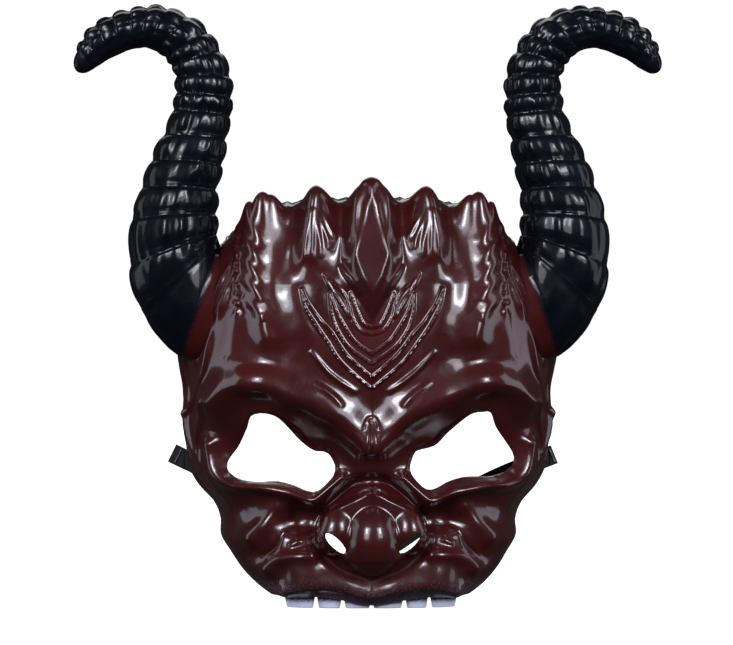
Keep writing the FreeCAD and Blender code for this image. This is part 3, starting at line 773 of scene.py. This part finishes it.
def side_ribs(us, z):
    """Long flowing ribs down the sides."""
    arc = np.abs(us[:, None]) * SIDE_SPAN + np.zeros_like(z)
    height = np.zeros(z.shape)
    mask = (arc > RIB_START[0]) & (z > RIB_BOTTOM[0]) & (z < RIB_TOP[0])
    a = arc[mask]
    b = z[mask]
    ribs = 0.7 * lumps(a + 100, b / 2.5 + 500, 9.0, 7)
    for points in SIDE_RIBS:
        distance, share, _ = along_line(a, b, smooth_line(points))
        ends = rise(np.minimum(share, 1 - share), 0, 0.2)
        ribs += RIB_HEIGHT * ends * np.exp(-(distance / RIB_WIDTH) ** 2)
    height[mask] = ribs * rise(a, *RIB_START) * rise(b, *RIB_BOTTOM) * rise(b, *RIB_TOP)
    return height


def crown_strands(us, ts):
    """Fine strands that run back over the crown."""
    arc = us[:, None] * SIDE_SPAN + np.zeros((1, len(ts)))
    depth = (ts[None, :] - CROWN_START) * 8
    strands = 0.8 * lumps(arc + 300, depth / 4 + 20, 2.4, 9) + 0.5 * lumps(arc + 30, depth / 2 + 80, 5.0, 10)
    return rise(ts[None, :], CROWN_START, CROWN_START + 0.5) * strands


def face_sheet(us, ts, detailed, eyes):
    """Grid of the sculpted face and its normals."""
    plain = plain_face(us, ts)
    normals = grid_normals(plain)
    x = plain[..., 0]
    z = plain[..., 2]
    height = fine_relief(x, z, eyes) if detailed else large_forms(x, z).height
    front = 1 / (1 + np.exp(5 * (ts - CREST_STATION - 0.2)))
    height = height * front[None, :] * eased(rise(np.abs(us), *RIM_FADE))[:, None]
    if detailed:
        height = height + side_ribs(us, z) * front[None, :] + crown_strands(us, ts)
    points = plain + normals * height[..., None] + lift_spikes(plain, ts)
    return points, grid_normals(points)


def quad_corners(mask):
    """Grid points that are corners of the marked quads."""
    grown = np.zeros((mask.shape[0] + 1, mask.shape[1] + 1), bool)
    for i in (0, 1):
        for j in (0, 1):
            grown[i:i + mask.shape[0], j:j + mask.shape[1]] |= mask
    return grown


def cut_opening(points, keep, outline, axes, region):
    """Drops the quads inside an outline and moves the vertices beside them onto it."""
    middle = (points[:-1, :-1] + points[1:, :-1] + points[:-1, 1:] + points[1:, 1:]) / 4
    flat = middle[..., axes]
    low = outline.min(axis=0)
    high = outline.max(axis=0)
    near = region(middle) & np.all((flat > low) & (flat < high), axis=2)
    inside = np.zeros(keep.shape, bool)
    inside[near] = outline_distance(*flat[near].T, outline) < 0
    keep &= ~inside
    i, j = np.nonzero(quad_corners(inside) & quad_corners(keep))
    at = points[i, j][:, axes]
    place = along_line(*at.T, np.vstack([outline, outline[:1]]))[2]
    step_u = np.gradient(points, axis=0)[i, j]
    step_t = np.gradient(points, axis=1)[i, j]
    matrix = np.stack([step_u[:, axes], step_t[:, axes]], axis=2)
    shift = np.clip(np.linalg.solve(matrix, (place - at)[..., None])[..., 0], -1.2, 1.2)
    depth = 3 - sum(axes)
    points[i, j, depth] += shift[:, 0] * step_u[:, depth] + shift[:, 1] * step_t[:, depth]
    points[i, j, axes[0]] = place[:, 0]
    points[i, j, axes[1]] = place[:, 1]


def openings():
    """Outline, plane and part of the shell of each opening."""
    found = [(smooth_line(points, 6, closed=True), [0, 2], lambda p: p[..., 1] < EYE_BEFORE)
             for points in (EYE_LEFT, EYE_RIGHT)]
    x, z, half_long, half_short, slant = NOSTRIL
    cos, sin = squared_round(40, 1, 1)
    spin = np.array([(math.cos(slant), math.sin(slant)), (-math.sin(slant), math.cos(slant))])
    nostril = np.stack([half_long * cos, half_short * sin], axis=1) @ spin + (x, z)
    z_mid, height, width = SLOT
    slot = np.array([(-1, -1), (1, -1), (1, 1), (-1, 1)]) * (width / 2, height / 2) + (0, z_mid)
    for side in (-1, 1):
        found.append((nostril * (side, 1), [0, 2], lambda p: p[..., 1] < NOSTRIL_BEFORE))
        found.append((slot, [1, 2], lambda p, side=side: p[..., 0] * side > SLOT_BEYOND))
    return found


def make_face(paint, plastic):
    """Face shell: painted outside, raw inside, with its openings."""
    eyes = [smooth_line(points, 4, closed=True) for points in (EYE_LEFT, EYE_RIGHT)]
    scale = 1.0

    def step_across(point):
        return STEPS_ACROSS[int(point[0] >= 36) + int(point[0] >= 64)] * scale

    def step_up(point):
        return STEPS_UP[int(point[1] >= -44)] * scale

    last = len(FACE_STATIONS) - 1
    half_us = evenly(lambda p: plain_face(p, np.array([11.0]))[:, 0], step_across)
    us = np.concatenate([-half_us[:0:-1], half_us])
    ts = evenly(lambda p: plain_face(np.array([0.0]), p * last)[0], step_up) * last
    inner_us = np.append(us[:-1:COARSE], us[-1])
    inner_ts = np.append(ts[:-1:COARSE], ts[-1])
    outer, _ = face_sheet(us, ts, True, eyes)
    inner, inner_normals = face_sheet(inner_us, inner_ts, False, eyes)
    inner = inner - inner_normals * SHELL_WALL
    keeps = [all_quads(outer), all_quads(inner)]
    for outline, axes, region in openings():
        for grid, keep in zip((outer, inner), keeps):
            cut_opening(grid, keep, outline, axes, region)
    points, faces, painted = closed_sheet(outer, inner, *keeps)
    slots = [0] * painted + [1] * (len(faces) - painted)
    obj, used = make_mesh("face_shell_sculpted", points, faces, [paint, plastic], slots)
    t_values = np.append(np.tile(ts, len(us)), np.tile(inner_ts, len(inner_us)))[used]
    add_value(obj, "bare", bare_share(points[used], t_values))
    # Share towards the lip's lower edge, where the paint is darkened as painted shade and speckled with grey
    # overspray.
    add_value(obj, "lip_shade_and_overspray", rise(t_values, 3.4, 0))
    return obj


def bare_share(place, t_values):
    """How much black shows: towards the horn roots and over the crown."""
    side = np.abs(place[:, 0])
    z = place[:, 2]
    root = rise(side - paint_border(z), -4, 4) * rise(z, 36, 48)
    return np.maximum(root, rise(t_values - CREST_STATION, 0.15, 0.65))


# ---- horns
def horn_grid(ts, angles, shrink, sculpted, seed):
    """Grid of points round and along the right horn; t below 0 is the plain root inside the shell."""
    above = np.maximum(0.0, ts)
    ax, az, bx, bz = spline_rows([a + b for a, b in HORN_STATIONS], above).T[:, None, :]
    long_half = np.hypot(ax - bx, az - bz) / 2
    root = rise(above, 3, 0)
    deep_half = long_half * 0.96 * (1 - root) + HORN_ROOT_DEPTH * root
    turn = angles[:, None]
    last = len(HORN_STATIONS) - 1
    swell = 1 + horn_relief(ts, turn, long_half, seed) if sculpted else 1.0
    tip = np.sqrt(1 - rise(ts, last - HORN_CAP, last) ** 2) * 0.97 + 0.03
    along_x = (bx - ax) / (2 * long_half)
    along_z = (bz - az) / (2 * long_half)
    inward = HORN_SPIGOT * np.maximum(0.0, -ts)
    reach = np.maximum(0.3, long_half * swell * tip - shrink) * np.cos(turn)
    deep = np.maximum(0.3, deep_half * swell * tip - shrink) * np.sin(turn)
    x = (ax + bx) / 2 + along_z * inward + along_x * reach
    z = (az + bz) / 2 - along_x * inward + along_z * reach
    y = HORN_ROOT_Y + HORN_LEAN * (z - HORN_STATIONS[0][0][1])
    lean = math.hypot(1, HORN_LEAN)
    return np.stack([x, y + deep / lean, z - deep * HORN_LEAN / lean], axis=2)


def horn_relief(ts, turn, long_half, seed):
    """Rings with wrinkles and knuckles, as a share of the section's half width."""
    last = len(HORN_STATIONS) - 1
    phase = np.interp(ts, [-1.5] + RING_JOINTS + [last + 0.5], np.arange(len(RING_JOINTS) + 2))
    ring = np.floor(phase)
    place = phase - ring
    facing = (1 - np.cos(turn)) / 2  # 1 towards the crest, which is the outside of the curl
    low_half = rise(ts, 8.5, 5.5)
    curl = rise(ts, 9.5, 11.5)
    before_tip = rise(ts, last - 0.8, last - 2.3)
    fade = rise(ts, 0, 0.35) * (1 - facing * rise(ts, 2.5, 0)) * before_tip
    strength = 1 - curl * (1 - facing)
    bulge = np.sin(math.pi * place) ** 0.6
    lip = np.exp(-(np.minimum(place, 1 - place) / 0.05) ** 2)
    groove = np.exp(-((place - 0.90) / 0.06) ** 2)
    rings = strength * (1.9 * (bulge - 0.75) - 0.4 * curl * facing + 0.45 * lip - 0.5 * groove)
    degrees = np.degrees(turn)
    folds = lumps(degrees + 7 * ring + 200, ring + 3 + seed, 13.0, 11 + seed)
    knuckles = strength * np.cos(2 * math.pi * (degrees + 6 * np.sin(ring * 2.3)) / 44)
    wrinkles = bulge * (low_half * 0.9 * folds + (1 - low_half) * 0.45 * knuckles)
    grain = (0.5 - 0.25 * curl) * lumps(degrees / 8 + 40, phase * 1.7 + 10, 1.3, 21 + seed)
    parting = np.exp(-(np.sin(turn) * long_half / 0.7) ** 2) * rise(ts, 0, 0.5) * before_tip
    return (fade * (rings + wrinkles + grain) + 0.35 * parting) / np.maximum(long_half, 2.0)


def make_horn_half(side, rear, plastic):
    """Front or rear half shell of one horn."""
    seed = 1 if side < 0 else 0
    start = 0.0 if rear else -math.pi
    last = len(HORN_STATIONS) - 1

    def half_grid(root_lines, lines, end, columns, shrink, sculpted):
        ts = np.concatenate([np.linspace(-1, 0, root_lines)[:-1], np.linspace(0, end, lines)])
        angles = np.linspace(start, start + math.pi, columns)
        return horn_grid(ts, angles, shrink, sculpted, seed) * np.array([side, 1, 1])

    step = 1
    outer = half_grid(5, 420 // step, last, 84 // step, 0.0, True)
    inner = half_grid(3, 90, last - 0.8, 21, HORN_WALL + 1.0, False)
    points, faces, _ = closed_sheet(outer, inner, all_quads(outer), all_quads(inner))
    names = ("left" if side < 0 else "right", "rear" if rear else "front")
    obj, used = make_mesh("horn_%s_%s_ringed" % names, points, faces, [plastic])
    x, _, z = points[used].T
    add_value(obj, "painted", (not rear) * rise(paint_border(z) - np.abs(x), -3.5, 3.5) * rise(z, 104, 96))
    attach(obj, "mask")
    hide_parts("horn_%s_%s" % names)


# ---- teeth
def lip_depth(x):
    """Depth of the face's lower edge at x, from its outside."""
    us = np.linspace(-1, 1, 401)
    edge = plain_face(us, np.array([0.0]))[:, 0]
    return np.interp(x, edge[:, 0], edge[:, 1])


def tooth_rings(left, right, seed):
    """Rounded tooth as a closed ring of points for each level, from the gum down."""
    cos, sin = squared_round(48, 0.55, 0.75)
    middle = (left + right) / 2
    half = (right - left) / 2
    rings = []
    for level in np.linspace(0, 1, 26):
        z = TOOTH_ROOT + (TOOTH_TIP - TOOTH_ROOT) * level
        end = rise(level, 0.965, 1)
        narrow = half - 1.1 * rise(level, 0.35, 1) - 0.35 * end
        thick = TOOTH_THICK / 2 * (1 + 0.12 * math.sin(math.pi * level)) * (1 - 0.2 * end)
        x = middle + narrow * cos
        crown = 0.45 * (1 - ((x - middle) / half) ** 2)
        y = lip_depth(x) + SHELL_WALL + 0.5 + TOOTH_THICK / 2 - crown + thick * sin
        ripple = 0.10 * lumps(x * 3 + 50 + seed, np.full(x.shape, z + 100), 2.2, 31)
        rings.append(np.stack([x, y + ripple, np.full(x.shape, z)], axis=1))
    return np.array(rings)


def make_teeth(plastic):
    """Gum shelf and six teeth as one moulding."""
    points = []
    faces = []
    for number, (left, right) in enumerate(TOOTH_SPANS):
        add_rings(points, faces, tooth_rings(left, right, 17 * number))
    gum = []
    for x in np.linspace(-44, 44, 89):
        y = lip_depth(x) + SHELL_WALL + 0.6
        gum.append([(x, y + back, z) for back, z in GUM_SECTION])
    add_rings(points, faces, np.array(gum))
    points = np.array(points)
    obj, used = make_mesh("upper_teeth_moulded", points, faces, [plastic], sharp=40)
    add_value(obj, "spray", rise(points[used, 2], -67.6, -62.1))
    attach(obj, "mask")
    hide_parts("upper_teeth")


def add_rings(points, faces, rings):
    """Adds a closed tube through rings of points, with a fan at each end."""
    first = len(points)
    count = rings.shape[1]
    points.extend(rings.reshape(-1, 3).tolist())
    for start in range(first, len(points) - count, count):
        for j in range(count):
            a = start + j
            b = start + (j + 1) % count
            faces.append((a, b, b + count, a + count))
    for start, ring, turn in ((first, rings[0], -1), (len(points) - count, rings[-1], 1)):
        centre = len(points)
        points.append(ring.mean(axis=0).tolist())
        for j in range(count):
            faces.append((start + j, start + (j + 1) % count, centre)[::turn])


# ---- strap
def route_points():
    """Centreline of the strap read from a smooth curve along its route, in metres."""
    curve = bpy.data.curves.new("strap_route", "CURVE")
    curve.dimensions = "3D"
    curve.resolution_u = 24
    spline = curve.splines.new("NURBS")
    spline.points.add(len(STRAP_ROUTE) - 1)
    for point, (x, z) in zip(spline.points, STRAP_ROUTE):
        point.co = (x * MM, 0.0, z * MM, 1.0)
    spline.order_u = 3
    spline.use_endpoint_u = True
    holder = bpy.data.objects.new("strap_route", curve)
    mesh = bpy.data.meshes.new_from_object(holder)
    line = np.array([tuple(vertex.co) for vertex in mesh.vertices])
    bpy.data.objects.remove(holder)
    bpy.data.curves.remove(curve)
    bpy.data.meshes.remove(mesh)
    return line


def make_strap(elastic):
    """Flat elastic band hanging across the back, slightly crowned and rounded at its edges."""
    line = route_points() / MM
    line = line[np.abs(line[:, 0]) < BAND_END + 2.2]
    along = lengths_along(line)
    way = np.gradient(line, axis=0)
    way /= np.linalg.norm(way, axis=1, keepdims=True)
    over = np.stack([-way[:, 2], 0 * way[:, 0], way[:, 0]], axis=1)
    cos, sin = squared_round(40, 0.35, 0.6)
    across = cos * STRAP_WIDTH / 2
    ribbed = 0.94 + 0.04 * np.cos(across * 2 * math.pi / ELASTIC_RIB)
    thick = np.array([0, 1, 0]) * (sin * ribbed * STRAP_THICK / 2)[:, None]
    rings = []
    for point, side, direction in zip(line, over, way):
        ring = point + side * (across * 0.995)[:, None] + thick
        beyond = np.sign(ring[:, 0]) * np.maximum(0, np.abs(ring[:, 0]) - BAND_END)
        rings.append(ring - direction * (beyond / direction[0])[:, None])
    points = []
    faces = []
    add_rings(points, faces, np.array(rings))
    obj, used = make_mesh("elastic_strap_band", np.array(points), faces, [elastic], sharp=80)
    add_value(obj, "across", np.append(np.tile(across, len(rings)), [0, 0])[used])
    add_value(obj, "along", np.append(np.repeat(along, len(cos)), [0, along[-1]])[used])
    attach(obj, "strap")
    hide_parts("elastic_strap")


# ---- studio
SCALE = 2.2  # picture points per millimetre at the nose
PICTURE_WIDTH = 733
CAMERA_DISTANCE = 2000.0
VIEW_AZIMUTH = -2.0
VIEW_ELEVATION = 2.0
AMBIENT = 0.03
AIM = (-2.9, -74.8, 63.2)  # centre of the picture
# Name, azimuth, elevation, distance, size, power, colour; one of each stands on either side
LAMP_PAIRS = [
    ("key", 36, 30, 1.5, (0.22, 0.42), 6, (0.92, 0.92, 1.0)),
    ("fill", 34, 26, 1.6, (0.62, 1.0), 11, (0.90, 0.90, 1.0)),
    ("side", 95, 10, 1.6, (0.7, 1.5), 5, (0.82, 0.86, 1.0)),
]


def stand(name, data, aim, azimuth, elevation, distance):
    """Adds a camera or lamp aimed at a point, in metres and degrees; azimuth 0 is in front of the face."""
    a = math.radians(azimuth)
    e = math.radians(elevation)
    away = Vector((math.sin(a) * math.cos(e), -math.cos(a) * math.cos(e), math.sin(e)))
    obj = bpy.data.objects.new(name, data)
    obj.location = Vector(aim) + away * distance
    obj.rotation_euler = away.to_track_quat("Z", "Y").to_euler()
    bpy.context.scene.collection.objects.link(obj)
    return obj


def make_camera():
    """Camera at the picture's viewing angle."""
    data = bpy.data.cameras.new("camera")
    data.sensor_width = 36.0
    data.lens = SCALE * CAMERA_DISTANCE * data.sensor_width / PICTURE_WIDTH
    data.clip_end = 20
    aim = Vector(AIM) * MM
    bpy.context.scene.camera = stand("camera", data, aim, VIEW_AZIMUTH, VIEW_ELEVATION, CAMERA_DISTANCE * MM)


def add_softbox(name, azimuth, elevation, distance, size, power, colour=(1, 1, 1)):
    """Rectangular lamp aimed at the middle of the mask."""
    data = bpy.data.lights.new(name, "AREA")
    data.shape = "RECTANGLE"
    data.size, data.size_y = size
    data.energy = power
    data.color = colour
    stand(name, data, (0, -0.04, 0.05), azimuth, elevation, distance)


def make_floor(material):
    """Wide floor just below the mask that lamps and reflections don't see."""
    size = 6.0
    bottom = cad_box[0][2] - 0.0005
    mesh = bpy.data.meshes.new("floor")
    corners = [(-size, -size), (size, -size), (size, size), (-size, size)]
    mesh.from_pydata([(x, y, bottom) for x, y in corners], [], [(0, 1, 2, 3)])
    mesh.materials.append(material)
    floor = bpy.data.objects.new("floor", mesh)
    floor.visible_glossy = False
    floor.visible_diffuse = False
    bpy.context.scene.collection.objects.link(floor)


def make_world():
    """White surroundings that stay dim in reflections, so that the gloss shows only the softboxes."""
    world = bpy.data.worlds.new("studio")
    bpy.context.scene.world = world
    world.use_nodes = True
    tree = world.node_tree
    background = tree.nodes["Background"]
    rays = tree.nodes.new("ShaderNodeLightPath")
    strength = tree.nodes.new("ShaderNodeMapRange")
    tree.links.new(rays.outputs["Is Camera Ray"], strength.inputs["Value"])
    strength.inputs["To Min"].default_value = AMBIENT
    strength.inputs["To Max"].default_value = 1.05
    background.inputs["Color"].default_value = (1, 1, 1, 1)
    tree.links.new(strength.outputs["Result"], background.inputs["Strength"])


# ---- build
make_camera()
paint = maroon_paint()
inside = raw_plastic()
black = horn_plastic()
elastic = knitted_elastic()
wire = steel()

face = make_face(paint, inside)
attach(face, "mask")
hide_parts("face_shell")
for side in (-1, 1):
    for rear in (False, True):
        make_horn_half(side, rear, black)
make_teeth(tooth_plastic())
make_strap(elastic)
for side in ("left", "right"):
    for name, material in (("strap_end_", elastic), ("staple_", wire)):
        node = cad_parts[name + side]
        node.data.materials.clear()
        node.data.materials.append(material)

make_floor(pale_floor())
make_world()
for side in (-1, 1):
    for name, azimuth, *settings in LAMP_PAIRS:
        add_softbox("%s_%d" % (name, side), azimuth * side, *settings)
add_softbox("back", 180, 35, 1.8, (1.4, 1.0), 5)
bpy.context.scene.view_settings.view_transform = "Standard"
bpy.context.scene.view_settings.look = "None"
